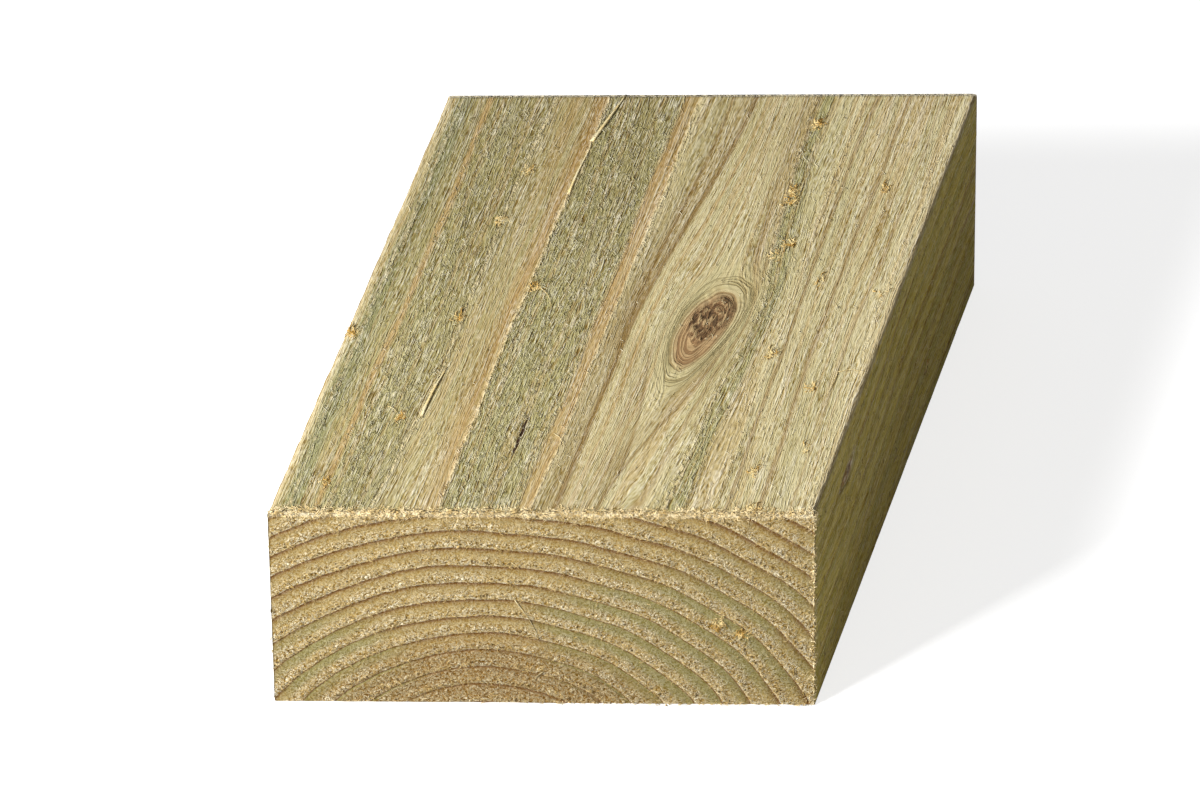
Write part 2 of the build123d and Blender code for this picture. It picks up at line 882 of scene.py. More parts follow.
@dataclass(frozen=True)
class SawnTexture:
    """Fine texture of a face sawn along the grain, each part a noise from 0 to 1."""

    # Cells to a millimetre across and along the grain, detail and curl of each noise, in the fields' order.
    PACES = (
        (0.8, 0.012, 3.0, 0.0),
        (3.4, 0.03, 1.0, 0.0),
        (3.6, 0.26, 1.0, 0.2),
        (4.4, 0.8, 0.0, 0.3),
    )

    streak: Value
    thread: Value
    dash: Value
    hair: Value
    painted_shading: PaintedShading = PaintedShading()

    @classmethod
    def on(cls, graph: Graph, across: Value, along: Value, level: Any) -> "SawnTexture":
        """Lays out the texture.

        Args:
            graph: The material's node tree.
            across: Places across the grain.
            along: Places along the grain.
            level: Places through the thickness, or a constant on a flat face.

        Returns:
            The texture.
        """
        parts = []
        for wide, long, detail, curl in cls.PACES:
            parts.append(graph.noise(across * wide, along * long, level * wide, detail, curl))
        return cls(*parts)

    def paint_shading(self, graph: Graph, colour: Any, fuzz: Value, share: Any) -> bpy.types.NodeSocket:
        """Paints shade into the hollows of the fine relief and highlights on its raised tips.

        Args:
            graph: The material's node tree.
            colour: The face's colour.
            fuzz: How torn the face is, from 0 to 1.
            share: How strongly the painted shade and highlights show, from 0 to 1.

        Returns:
            The colour with painted shade and highlights.
        """
        show = self.painted_shading
        torn = (fuzz * 0.8 + 0.2) * share
        smooth = (1.0 - fuzz * 0.4) * share
        hollow_shade = rise(1.0 - self.dash, *show.dash_step) * torn
        line = rise(1.0 - self.thread, *show.thread_step) * smooth
        grit = rise(1.0 - self.hair, *show.hair_step) * share
        tip = rise(self.dash, *show.dash_step) * torn
        sheen = rise(self.thread, *show.thread_step) * smooth
        fleck_highlight = rise(self.hair, *show.hair_step) * share
        nick_shade = rise(1.0 - self.dash, *show.deep_dash_step) * share
        nick_shade = nick_shade + rise(1.0 - self.thread, *show.deep_thread_step) * smooth * 0.6
        # Painted shade in the low parts of the relief and painted highlights on its high parts; the nicks are
        # painted shadow.
        dark = hollow_shade * show.hollow_shade + line * show.line + grit * show.grit
        pale = tip * show.tip + sheen * show.sheen + fleck_highlight * show.fleck_highlight
        colour = graph.stain(dark, colour, Tone.HOLLOW)
        return graph.lay(colour, (pale, Tone.CREAM), (nick_shade * show.nick_shade, Tone.SHADE))

    def relief(self, fuzz: Value) -> Value:
        """Height of the texture, in millimetres."""
        torn = self.dash * (fuzz * 0.42 + 0.1)
        return torn + self.hair * (fuzz * 0.18 + 0.1) + self.thread * (0.18 - fuzz * 0.06)


@dataclass(frozen=True)
class UpperFaceFinish:
    """Sawn wide face in view: olive and straw bands, fuzzy where soft wood tore, and one red-brown knot."""

    layout: UpperFaceLayout
    half_length: float
    thread_pull: float = 0.45
    texture_level: float = 5.0
    band_rag: float = 0.8
    line_rag: float = 0.25
    seam_rag: float = 0.3
    lip_rag: float = 0.4
    lip_relief: float = 0.25
    least_pit: float = 0.3
    streak_step: tuple[float, float] = (0.5, 0.6)
    slit_step: tuple[float, float] = (0.14, 0.32)
    # Painted shade: the upper face darkens towards the far end and the left side, where less key light falls.
    light_falloff: float = 0.28
    falloff_along: tuple[float, float] = (-20.0, 35.0)
    falloff_across: tuple[float, float] = (-12.0, 8.0)
    right_fade: tuple[float, float] = (1.9, 0.9)
    left_fade: tuple[float, float] = (1.7, 0.9)
    torn_fade: tuple[float, float] = (1.1, 0.6)
    name: str = "sawn_upper_face"
    gloss: float = 0.18

    def material(self) -> bpy.types.Material:
        """Builds the node material.

        Returns:
            The material.
        """
        made, graph = Graph.for_material(self.name)
        x, y, z = graph.place()
        layout = self.layout
        grain = layout.grain(x, y)
        texture = SawnTexture.on(graph, layout.grain(x, y, self.thread_pull), y, self.texture_level)
        rag = graph.noise(grain * 0.9, y * 0.4, 2.0, 3.0) - 0.5
        colour, fuzz = graph.ramp(layout.share(grain + rag * self.band_rag), layout.band_stops())
        line_colour, line = graph.ramp(layout.share(grain + rag * self.line_rag), layout.line_stops())

        patch = rise(graph.noise(grain * 0.32, y * 0.07, 9.0, 1.0), 0.38, 0.62)
        slow = graph.noise(grain * 0.14, y * 0.018, 3.0, 2.0)
        colour = graph.lay(
            colour,
            (rise(slow, 0.48, 0.66) * 0.3, Tone.GREEN),
            (rise(texture.streak, *self.streak_step) * 0.45, Tone.ORANGE),
            (rise(1.0 - texture.streak, *self.streak_step) * 0.3, Tone.OLIVE),
        )
        colour = graph.mix(line, colour, line_colour)
        seams = sum(seam.shade(x + rag * self.seam_rag, y) for seam in layout.seams)
        colour = graph.lay(colour, (seams, Tone.SEAM))
        # Painted shade where less key light falls: darker towards the far end and the left.
        light_falloff = rise(y, *self.falloff_along) * (1.0 - rise(x, *self.falloff_across))
        colour = graph.stain(light_falloff * self.light_falloff, colour, Tone.HOLLOW)

        broken = rise(graph.noise(grain * 1.6, y * 0.8, 6.0, 2.0), 0.42, 0.56)
        holes = rise(1.0 - graph.noise(grain * 1.1, y * 0.8, 8.0, 1.0), 0.54, 0.62)
        seat = layout.share(grain + rag * self.lip_rag)
        ridge = graph.ramp(seat, layout.lip_stops(0.0))[1] * broken
        pits = graph.ramp(seat, layout.lip_stops(1.0))[1] * larger(holes, self.least_pit)
        relief = texture.relief(fuzz) + ridge * self.lip_relief - pits * self.lip_relief

        right = nearing(x, layout.half_width, self.right_fade)
        left = nearing(-x, layout.half_width, self.left_fade)
        torn = nearing(abs(y), self.half_length, self.torn_fade)
        # Paler along both long edges; along the left edge this is a painted highlight where the key light
        # catches the eased edge.
        colour = graph.lay(colour, (right * 0.8, Tone.ARRIS), (left * 0.5, Tone.ARRIS))
        # Painted shade in the hollows of the fine relief and painted highlights on its raised fibres, weaker
        # in the knot's rings.
        share = (layout.knot.calm(x, y) * 0.8 + 0.2) * (patch * 0.6 + 0.55)
        colour = texture.paint_shading(graph, colour, fuzz, share)
        colour = graph.mix(line * 0.5, colour, line_colour)
        # The raised lips are pale torn fibre with a painted highlight; the pits beside them are painted
        # shade.
        colour = graph.lay(colour, (seams * 0.4, Tone.SEAM), (ridge, Tone.FRINGE), (pits * 0.7, Tone.SHADE))
        colour, bulge = layout.knot.paint(graph, colour, x, y, rise(z, 0.0, 1.0))
        # Painted shade inside the drying split.
        split = rise(layout.slit(x, y), *self.slit_step)
        colour = graph.lay(colour, (torn, Tone.CREAM), (split, Tone.KNOT_PIT))
        graph.surface(colour, 0.78 + fuzz * 0.15, relief + bulge, self.gloss)
        return made


@dataclass(frozen=True)
class SideFaceFinish:
    """Sawn edges and underside: streaks where the growth rings meet the face, and small knots."""

    rings: GrowthRings
    half_width: float
    half_length: float
    thickness: float
    edge_knot: Knot
    pin_knot: Knot
    dip: float = 6.0
    dip_run: tuple[float, float] = (-45.0, 20.0)
    ring_rag: float = 0.7
    streaks: float = 0.4
    streak_step: tuple[float, float] = (0.5, 0.62)
    edge_fade: tuple[float, float] = (2.0, 1.4)
    base_fade: tuple[float, float] = (0.8, 1.2)
    corner_side_fade: tuple[float, float] = (1.6, 0.7)
    corner_top_fade: tuple[float, float] = (1.6, 0.8)
    torn_fade: tuple[float, float] = (1.2, 0.6)
    shading_share: float = 0.8
    name: str = "sawn_side_faces"
    roughness: float = 0.9
    gloss: float = 0.06
    stops: tuple[tuple[float, Tone, float], ...] = (
        (0.0, Tone.SIDE_TAN, 0.1),
        (0.12, Tone.SIDE_STRAW, 0.2),
        (0.45, Tone.SIDE_TAN, 0.2),
        (0.7, Tone.SIDE_OLIVE, 0.4),
        (0.9, Tone.SIDE_OLIVE, 0.3),
        (0.95, Tone.SIDE_BROWN, 0.1),
        (0.99, Tone.SIDE_BROWN, 0.1),
    )

    def material(self) -> bpy.types.Material:
        """Builds the node material.

        Returns:
            The material.
        """
        made, graph = Graph.for_material(self.name)
        x, y, z = graph.place()
        on_edge = nearing(x, self.half_width, self.edge_fade)
        on_base = 1.0 - rise(z, *self.base_fade)
        dip = self.dip * rise(y, *self.dip_run)
        level = z + (self.edge_knot.part_grain(z, y) - z - dip) * on_edge
        across = x + (self.pin_knot.part_grain(x, y) - x) * on_base
        texture = SawnTexture.on(graph, across, y, level)
        ring = self.rings.count(across, y, level) + (texture.streak - 0.5) * self.ring_rag
        stops = [tone.stop(place, fuzz) for place, tone, fuzz in self.stops]
        colour, fuzz = graph.ramp(fraction(ring), stops)
        colour = graph.lay(
            colour,
            (rise(texture.streak, *self.streak_step) * self.streaks, Tone.SIDE_BROWN),
            (rise(1.0 - texture.streak, *self.streak_step) * self.streaks, Tone.SIDE_OLIVE),
        )
        # Painted shade: the right edge face, which stands in shade, is tinted warmer.
        colour = graph.stain(on_edge, colour, Tone.WARM_SHADE)
        relief = texture.relief(fuzz)
        for knot, place, here in ((self.edge_knot, z, on_edge), (self.pin_knot, x, on_base)):
            colour, bulge = knot.paint(graph, colour, place, y, here)
            relief = relief + bulge

        corner = nearing(abs(x), self.half_width, self.corner_side_fade)
        corner = corner * nearing(z, self.thickness, self.corner_top_fade)
        torn = nearing(abs(y), self.half_length, self.torn_fade)
        # Paler along the upper right edge and near the torn ends, and darker along the upper left edge.
        pale_rim = larger(corner * rise(x, 0.0, 1.0) * 0.8, torn * 0.6)
        colour = graph.lay(colour, (pale_rim, Tone.ARRIS))
        colour = graph.stain(corner * rise(-x, 0.0, 1.0), colour, Tone.HOLLOW)
        # Painted shade in the hollows of the fine relief and painted highlights on its raised fibres.
        colour = texture.paint_shading(graph, colour, fuzz, self.shading_share)
        graph.surface(colour, self.roughness, relief, self.gloss)
        return made


@dataclass(frozen=True)
class EndGrainFinish:
    """Cross-cut end: torn pale early wood, olive late wood and thin dark ring lines."""

    rings: GrowthRings
    thickness: float
    ring_rag: float = 0.03
    # Middle and reach across the end, then up it, of each green patch.
    green_patches: tuple[tuple[float, float, float, float], ...] = (
        (24.0, 24.0, 16.0, 15.0),
        (-36.0, 14.0, 8.0, 11.0),
    )
    green_phase: tuple[float, float] = (0.3, 0.7)
    late_phase: tuple[float, float] = (0.93, 0.97)
    old_rings: tuple[float, float] = (8.0, 11.0)
    old_phase: tuple[float, float] = (0.84, 0.92)
    pit_phase: float = 0.22
    pit_width: float = 0.24
    pit_sizes: tuple[float, float] = (0.02, 0.3)
    top_fade: tuple[float, float] = (2.0, 1.1)
    name: str = "sawn_end_grain"
    roughness: float = 0.9
    gloss: float = 0.12
    # The late-wood line and the darkening just inside it are the late wood's own colour and partly painted
    # shade under the raised lip of the next ring.
    stops: tuple[tuple[float, Tone, float], ...] = (
        (0.0, Tone.END_PALE, 1.0),
        (0.06, Tone.END_PALE, 1.0),
        (0.2, Tone.END_TAN, 0.9),
        (0.4, Tone.END_TAN, 0.6),
        (0.65, Tone.END_SMOOTH, 0.3),
        (0.84, Tone.END_DEEP, 0.15),
        (0.93, Tone.LATE_LINE, 0.05),
        (0.985, Tone.LATE_LINE, 0.05),
    )

    def material(self) -> bpy.types.Material:
        """Builds the node material.

        Returns:
            The material.
        """
        made, graph = Graph.for_material(self.name)
        place = x, y, z = graph.place()
        rag = graph.cells(place, 0.8, 3.0) - 0.5
        ring = self.rings.count(x, y, z) + rag * self.ring_rag
        phase = fraction(ring)
        colour, fuzz = graph.ramp(phase, [tone.stop(at, soft) for at, tone, soft in self.stops])
        fuzz = fuzz * (0.7 + rise(graph.cells(place, 0.3), 0.35, 0.65) * 0.5)
        cloud = graph.noise(x * 0.07, y * 0.05, z * 0.07, 2.0)
        right, left = (bell((x - a) / b) * bell((z - c) / d) for a, b, c, d in self.green_patches)
        inner = rise(phase, *self.green_phase) * (1.0 - rise(phase, *self.late_phase))
        green = inner * rise(larger(right, left) + cloud - 0.5, 0.1, 0.6)
        old = (1.0 - rise(ring, *self.old_rings)) * (1.0 - rise(phase, *self.old_phase))
        colour = graph.lay(colour, (green * 0.85, Tone.END_GREEN), (old * 0.6, Tone.END_PITH))
        fuzz = larger(fuzz, old * 0.6)

        clump = graph.cells(place, 2.0, 1.0, 0.8)
        curl = graph.cells(place, 1.1, 1.0, 2.2)
        fine = graph.cells(place, 3.6, 0.0, 0.6)
        thread = rise(1.0 - abs(curl - 0.5) * 11.0, 0.1, 0.7) * rise(clump, 0.36, 0.48)
        least, most = self.pit_sizes
        pitted = rise(graph.cells(place, 0.5), 0.34, 0.6)
        pit_size = least + bell((phase - self.pit_phase) / self.pit_width) * most * pitted
        pit = rise(pit_size - graph.specks(x, y, z), 0.0, 0.07)

        top = nearing(z, self.thickness, self.top_fade)
        # Painted shade in the hollows between torn clumps and painted highlights on their tips; the pale
        # curls and the pale band along the upper edge are torn fibre.
        torn = fuzz * 0.85 + 0.15
        hollow_shade = rise(1.0 - clump, 0.52, 0.62) * torn * 0.9
        hollow_shade = hollow_shade + rise(1.0 - fine, 0.52, 0.64) * (0.3 + fuzz * 0.35)
        colour = graph.stain(hollow_shade, colour, Tone.HOLLOW)
        tip = rise(clump, 0.53, 0.62) * torn * 0.34 + rise(fine, 0.53, 0.64) * (0.06 + fuzz * 0.16)
        colour = graph.lay(colour, (larger(tip, larger(thread * fuzz, top * 0.75)), Tone.END_TIP))
        colour = graph.stain(old * 0.3, colour, Tone.HOLLOW)
        # Painted shade in the small pits.
        colour = graph.lay(colour, (pit * 0.85, Tone.SHADE))
        relief = clump * (fuzz * 0.4 + 0.04) + thread * fuzz * 0.3 + fine * (fuzz * 0.16 + 0.04) - pit * 0.6
        graph.surface(colour, self.roughness, relief, self.gloss)
        return made


@dataclass(frozen=True)
class FibreFinish:
    """Torn wood fibres, pale to deep."""

    name: str
    pale: Tone
    deep: Tone
    patch_step: tuple[float, float] = (0.42, 0.6)
    fine_cells: float = 3.0
    relief: float = 0.05
    roughness: float = 0.75
    gloss: float = 0.2

    def material(self) -> bpy.types.Material:
        """Builds the node material.

        Returns:
            The material.
        """
        made, graph = Graph.for_material(self.name)
        place = x, y, z = graph.place()
        patch = graph.noise(x * 0.6, y * 0.4, z * 0.6, 2.0)
        fine = graph.cells(place, self.fine_cells, 1.0)
        colour = graph.lay(self.pale.linear, (rise(patch, *self.patch_step), self.deep))
        colour = graph.scale(colour, 0.7 + fine * 0.6)
        graph.surface(colour, self.roughness, fine * self.relief, self.gloss)
        return made


@dataclass(frozen=True)
class BandedFibreFinish:
    """Raised fibres of the upper face, a little paler than the band on which each one lies."""

    layout: UpperFaceLayout
    patch_step: tuple[float, float] = (0.4, 0.62)
    fine_cells: float = 3.0
    relief: float = 0.05
    name: str = "upper_face_fibres"
    roughness: float = 0.75
    gloss: float = 0.2

    def material(self) -> bpy.types.Material:
        """Builds the node material.

        Returns:
            The material.
        """
        made, graph = Graph.for_material(self.name)
        place = x, y, z = graph.place()
        colour, _ = graph.ramp(self.layout.share(self.layout.grain(x, y)), self.layout.band_stops())
        patch = graph.noise(x * 1.2, y * 0.5, z * 1.2, 2.0)
        fine = graph.cells(place, self.fine_cells, 1.0)
        colour = graph.lay(colour, (rise(patch, *self.patch_step) * 0.5, Tone.CREAM))
        colour = graph.scale(colour, 0.8 + fine * 0.4)
        graph.surface(colour, self.roughness, fine * self.relief, self.gloss)
        return made


@dataclass(frozen=True)
class Relief:
    """Depths of the sawn faces' relief, in millimetres."""

    end_groove: float = 0.18
    end_lip: float = 0.16
    end_tear: float = 0.09
    end_crumb: float = 0.08
    top_soft: float = 0.07
    top_dash: float = 0.09
    top_tear: float = 0.07
    knot_sink: float = 0.1
    knot_tear: float = 0.25
    knot_crumb: float = 0.2
    seam: float = 0.12
    side_groove: float = 0.14
    side_lip: float = 0.05
    side_dash: float = 0.13
    side_tear: float = 0.05
    deepest: float = 2.0


@dataclass
class Timber:
    """The stick of wood itself: a fine closed mesh with eased edges and the relief of its sawn faces."""

    width: float
    length: float
    thickness: float
    rings: GrowthRings
    layout: UpperFaceLayout
    upper_radius: float = 1.5
    lower_radius: float = 0.8
    end_radius: float = 0.35
    skin: float = 0.5
    cuts_x: int = 190
    cuts_y: int = 108
    cuts_z: int = 90
    crowding: float = 0.3
    relief: Relief = Relief()
    face_turn: tuple[float, float] = (0.35, 0.8)
    base_turn: tuple[float, float] = (0.5, 0.9)
    groove_phases: tuple[float, float] = (0.97, -0.03)
    groove_width: float = 0.11
    lip_phase: float = 0.16
    lip_width: float = 0.1
    soft_phase: tuple[float, float] = (0.4, 0.85)
    near_brink: tuple[float, float] = (0.3, 1.5)
    far_brink: tuple[float, float] = (0.5, 2.5)
    knot_fade: tuple[float, float] = (0.45, 0.85)
    slit_widen: float = 2.0
    # Cells to a millimetre and starting corner of the noises for tears, crumbs and dashes.
    patterns: tuple[tuple[Sequence[float], Sequence[float]], ...] = (
        ((1.1, 1.1, 1.1), (0.0, 0.0, 0.0)),
        ((0.55, 0.55, 0.55), (9.0, 0.0, 0.0)),
        ((1.2, 0.4, 1.2), (0.0, 0.0, 5.0)),
    )
    noise: LatticeNoise = field(default_factory=lambda: LatticeNoise(Seed.RELIEF.value))

    def build(self) -> bpy.types.Object:
        """Makes the stick's mesh.

        Returns:
            The stick as an object at the origin.
        """
        mesh = self._grid()
        eased = self._ease(self._crowd(read_vectors(mesh.vertices, "co")))
        self._move(mesh, eased)
        normals = read_vectors(mesh.vertices, "normal")
        sunk = eased - normals * self._depth(eased, normals)[:, None]
        sunk[:, 2] = np.maximum(sunk[:, 2], 0.0)
        self._move(mesh, sunk)
        mesh.polygons.foreach_set("use_smooth", np.ones(len(mesh.polygons), bool))
        return add_object(STICK, mesh)

    @staticmethod
    def _move(mesh: bpy.types.Mesh, places: np.ndarray) -> None:
        """Gives the mesh's points new places, in millimetres."""
        mesh.vertices.foreach_set("co", (places * MM).astype(np.float32).ravel())
        mesh.update()

    def _grid(self) -> bpy.types.Mesh:
        """A block of the stud's size, cut into fine squares along all three axes, in millimetres.

        Returns:
            The block's mesh.
        """
        work = bmesh.new()
        bmesh.ops.create_cube(work, size=1.0)
        bmesh.ops.scale(work, vec=(self.width, self.length, self.thickness), verts=work.verts)
        bmesh.ops.translate(work, vec=(0.0, 0.0, self.thickness / 2), verts=work.verts)
        for axis, cells in enumerate((self.cuts_x, self.cuts_y, self.cuts_z)):
            along = []
            for edge in work.edges:
                run = edge.verts[1].co - edge.verts[0].co
                if abs(run[axis]) > 0.99 * run.length:
                    along.append(edge)
            bmesh.ops.subdivide_edges(work, edges=along, cuts=cells - 1, use_grid_fill=True)
        bmesh.ops.recalc_face_normals(work, faces=work.faces)
        mesh = bpy.data.meshes.new(STICK)
        work.to_mesh(mesh)
        work.free()
        return mesh

    def _crowd(self, places: np.ndarray) -> np.ndarray:
        """Draws the grid's lines towards the edges of the stud, where the outline shows.

        Args:
            places: Points of the even grid.

        Returns:
            The moved points.
        """
        middle = np.array((0.0, 0.0, self.thickness / 2))
        half = np.array((self.width, self.length, self.thickness)) / 2
        share = (places - middle) / half
        return middle + half * (share + self.crowding * np.sin(math.pi * share) / math.pi)

    def _ease(self, places: np.ndarray) -> np.ndarray:
        """Rounds the long edges and then the edges of both ends.

        Args:
            places: Points of the square block.

        Returns:
            The moved points.
        """
        half = np.array((self.width, self.length, self.thickness)) / 2
        eased = places.copy()
        eased[:, 2] -= half[2]
        long_radius = np.where(eased[:, 2] > 0, self.upper_radius, self.lower_radius)
        for pair, radius in (((0, 2), long_radius), ((1, 2), self.end_radius), ((0, 1), self.end_radius)):
            plane = eased[:, pair]
            over = np.abs(plane) - (half[list(pair)] - np.reshape(radius, (-1, 1)))
            both = np.all(over > 0, axis=1)
            reach = np.hypot(over[:, 0], over[:, 1])
            share = np.where(both, over.max(axis=1) / np.maximum(reach, 1e-9), 1.0)
            moved = np.sign(plane) * (np.abs(plane) - over * (1.0 - share)[:, None])
            eased[:, pair] = np.where(both[:, None], moved, plane)
        eased[:, 2] += half[2]
        return eased

    def _depth(self, places: np.ndarray, normals: np.ndarray) -> np.ndarray:
        """How far each point is sunk below the stud's true faces, in millimetres.

        Args:
            places: Points of the eased block.
            normals: Their outward directions.

        Returns:
            One depth for each point.
        """
        x, y, z = places.T
        deep = self.relief
        on_end = rise(np.abs(normals[:, 1]), *self.face_turn)
        on_top = rise(normals[:, 2], *self.face_turn)
        on_base = rise(-normals[:, 2], *self.base_turn)
        on_side = np.clip(1.0 - on_end - on_top, 0.0, 1.0)
        tear, crumb, dash = (self.noise(*(places * cells + start).T) for cells, start in self.patterns)

        phase = fraction(self.rings.count(x, y, z))
        groove = sum(bell((phase - middle) / self.groove_width) for middle in self.groove_phases)
        lip = bell((phase - self.lip_phase) / self.lip_width)
        fuzz = 1.0 - rise(phase, *self.soft_phase)
        rough = (deep.end_tear * tear + deep.end_crumb * crumb) * (0.25 + 0.75 * fuzz)
        torn = deep.end_groove * groove - deep.end_lip * lip + rough
        brink = np.minimum(self.width / 2 - np.abs(x), np.minimum(self.thickness - z, z))
        end = self.skin + torn * np.where(y > 0, rise(brink, *self.far_brink), rise(brink, *self.near_brink))

        grain = self.layout.grain(x, y)
        soft = self.layout.fuzz(grain)
        top = self.skin + deep.top_soft * soft - self.layout.lip(grain) * (0.6 + 0.7 * dash)
        top += (deep.top_dash * dash + deep.top_tear * tear) * (0.25 + 0.75 * soft)
        core = 1.0 - rise(self.layout.knot.inward(x, y), *self.knot_fade)
        top += core * (deep.knot_tear * tear + deep.knot_crumb * crumb + deep.knot_sink)
        top += self.layout.slit_depth * self.layout.slit(x, y, self.slit_widen)
        top += sum(deep.seam * seam.shade(x, y) for seam in self.layout.seams)

        rough = (deep.side_dash * dash + deep.side_tear * tear) * (0.4 + 0.6 * fuzz)
        side = self.skin + deep.side_groove * groove - deep.side_lip * lip + rough
        side = side * (1.0 - on_base) + np.maximum(side - self.skin, 0.0) * on_base
        depth = end * on_end + top * on_top + side * on_side
        return np.clip(depth, 0.0, deep.deepest)

    def dress(self, stick: bpy.types.Object, finishes: Sequence[Any]) -> None:
        """Gives each face its finish.

        Args:
            stick: The stick's object.
            finishes: Finishes of the ends, the upper face and the other long faces, in that order.
        """
        mesh = stick.data
        for finish in finishes:
            mesh.materials.append(finish.material())
        x, y, z = read_vectors(mesh.polygons, "center").T / MM
        past_side = np.maximum(np.abs(x) - self.width / 2, -z)
        reach = np.stack((np.abs(y) - self.length / 2, z - self.thickness, past_side))
        mesh.polygons.foreach_set("material_index", reach.argmax(axis=0).astype(np.int32))
        mesh.update()


class Strand:
    """One torn fibre, a unit long: a three-sided taper that curls as it goes."""

    SIDES = 3
    TURNS = 1.1

    def __init__(self, curl: float, wave: float, cuts: int = 2, tip: float = 0.35) -> None:
        """Models the fibre along +X, with its curl towards +Z.

        Args:
            curl: How far the tip turns up, as a share of the length.
            wave: How far it sways sideways, as a share of the length.
            cuts: How many times its length is divided.
            tip: Thickness of the tip, as a share of the root's.
        """
        work = bmesh.new()
        bmesh.ops.create_cone(
            work, cap_ends=True, segments=self.SIDES, radius1=0.5, radius2=0.5 * tip, depth=1.0
        )
        bmesh.ops.rotate(work, cent=(0, 0, 0), matrix=Matrix.Rotation(math.pi / 2, 3, "Y"), verts=work.verts)
        bmesh.ops.translate(work, vec=(0.5, 0.0, 0.0), verts=work.verts)
        long = [e for e in work.edges if abs(e.verts[0].co.x - e.verts[1].co.x) > 0.5]
        bmesh.ops.subdivide_edges(work, edges=long, cuts=cuts)
        bmesh.ops.triangulate(work, faces=work.faces)
        bmesh.ops.recalc_face_normals(work, faces=work.faces)
        work.verts.ensure_lookup_table()
        self.points = np.array([v.co for v in work.verts])
        self.faces = np.array([[v.index for v in f.verts] for f in work.faces])
        work.free()
        run = np.clip(self.points[:, 0], 0.0, 1.0)
        self.bend = np.zeros_like(self.points)
        self.bend[:, 2] = curl * run * run
        self.bend[:, 1] = wave * np.sin(self.TURNS * 2.0 * math.pi * run)


@dataclass(frozen=True)
class FibreSize:
    """Least and most of a fibre's length and thickness, in millimetres, and of its rise, as a slope."""

    length: tuple[float, float]
    thickness: tuple[float, float]
    lift: tuple[float, float]


@dataclass
class FibreCoat:
    """Many torn fibres joined in one mesh, each rooted on the stick's surface."""

    SHAPES = ((0.05, 0.1), (0.18, -0.24), (-0.12, 0.3), (0.3, -0.14), (-0.2, -0.3))
    LENGTH_SPREAD = (1.4, 3.0)
    ROOT_SINK = 0.4

    name: str
    finish: Union[FibreFinish, BandedFibreFinish]
    low: np.ndarray
    high: np.ndarray
    seed: Seed
    flatness: float = 0.35

    def __post_init__(self) -> None:
        """Starts the random draws and models the few shapes of fibre."""
        self.rng = np.random.default_rng(self.seed.value)
        self.shapes = [Strand(curl, wave) for curl, wave in self.SHAPES]
        self.points: list[np.ndarray] = []
        self.faces: list[np.ndarray] = []
        self.total = 0

    def grow(self, roots: np.ndarray, normals: np.ndarray, headings: np.ndarray, size: FibreSize) -> None:
        """Adds a fibre at every root.

        Args:
            roots: Points on the stick, in millimetres.
            normals: Outward directions there.
            headings: Directions in which the fibres lie.
            size: How long, thick and raised they are.
        """
        count = len(roots)
        side = np.cross(normals, headings)
        side /= np.maximum(np.linalg.norm(side, axis=1, keepdims=True), 1e-9)
        flat = np.cross(side, normals)
        slope = self.rng.uniform(*size.lift, count)[:, None]
        ahead = flat + normals * slope
        ahead /= np.linalg.norm(ahead, axis=1, keepdims=True)
        above = np.cross(ahead, side)
        above *= np.sign(np.sum(above * normals, axis=1, keepdims=True))
        shortest, longest = size.length
        lengths = shortest + (longest - shortest) * self.rng.beta(*self.LENGTH_SPREAD, count)
        widths = self.rng.uniform(*size.thickness, count)
        pick = self.rng.integers(len(self.shapes), size=count)
        for number, shape in enumerate(self.shapes):
            for i in np.flatnonzero(pick == number):
                axes = np.stack((ahead[i], side[i], above[i]))
                section = shape.points * (lengths[i], widths[i], widths[i])
                body = section + shape.bend * lengths[i]
                self._add(roots[i] - normals[i] * widths[i] * self.ROOT_SINK + body @ axes, shape.faces)

    def splinter(
        self, start: Sequence[float], end: Sequence[float], bow: Sequence[float], thickness: float
    ) -> None:
        """Adds one long splinter between two points.

        Args:
            start: Its root.
            end: Its tip.
            bow: How far its middle stands off the straight line.
            thickness: Thickness of the root.
        """
        shape = Strand(0.0, 0.0, cuts=8, tip=0.3)
        start, end, bow = (np.array(v, float) for v in (start, end, bow))
        ahead = end - start
        length = np.linalg.norm(ahead)
        ahead /= length
        side = np.cross((0.0, 0.3, 1.0), ahead)
        side /= np.linalg.norm(side)
        run = np.clip(shape.points[:, :1], 0.0, 1.0)
        body = shape.points[:, 1:2] * side + shape.points[:, 2:3] * np.cross(ahead, side) * self.flatness
        line = start + ahead * run * length + bow * np.sin(math.pi * run)
        self._add(line + body * thickness, shape.faces)

    def _add(self, points: np.ndarray, faces: np.ndarray) -> None:
        """Joins one fibre's points and faces to the rest.

        Args:
            points: The fibre's points, in millimetres.
            faces: Its faces, by its own points' numbers.
        """
        self.points.append(points)
        self.faces.append(faces + self.total)
        self.total += len(points)

    def build(self) -> bpy.types.Object:
        """Makes the joined mesh and dresses it.

        Returns:
            The fibres as one object at the origin.
        """
        points = np.clip(np.concatenate(self.points), self.low, self.high) * MM
        faces = np.concatenate(self.faces)
        mesh = bpy.data.meshes.new(self.name)
        mesh.from_pydata(points.tolist(), [], faces.tolist())
        mesh.polygons.foreach_set("use_smooth", np.ones(len(faces), bool))
        mesh.materials.append(self.finish.material())
        mesh.update()
        return add_object(self.name, mesh)


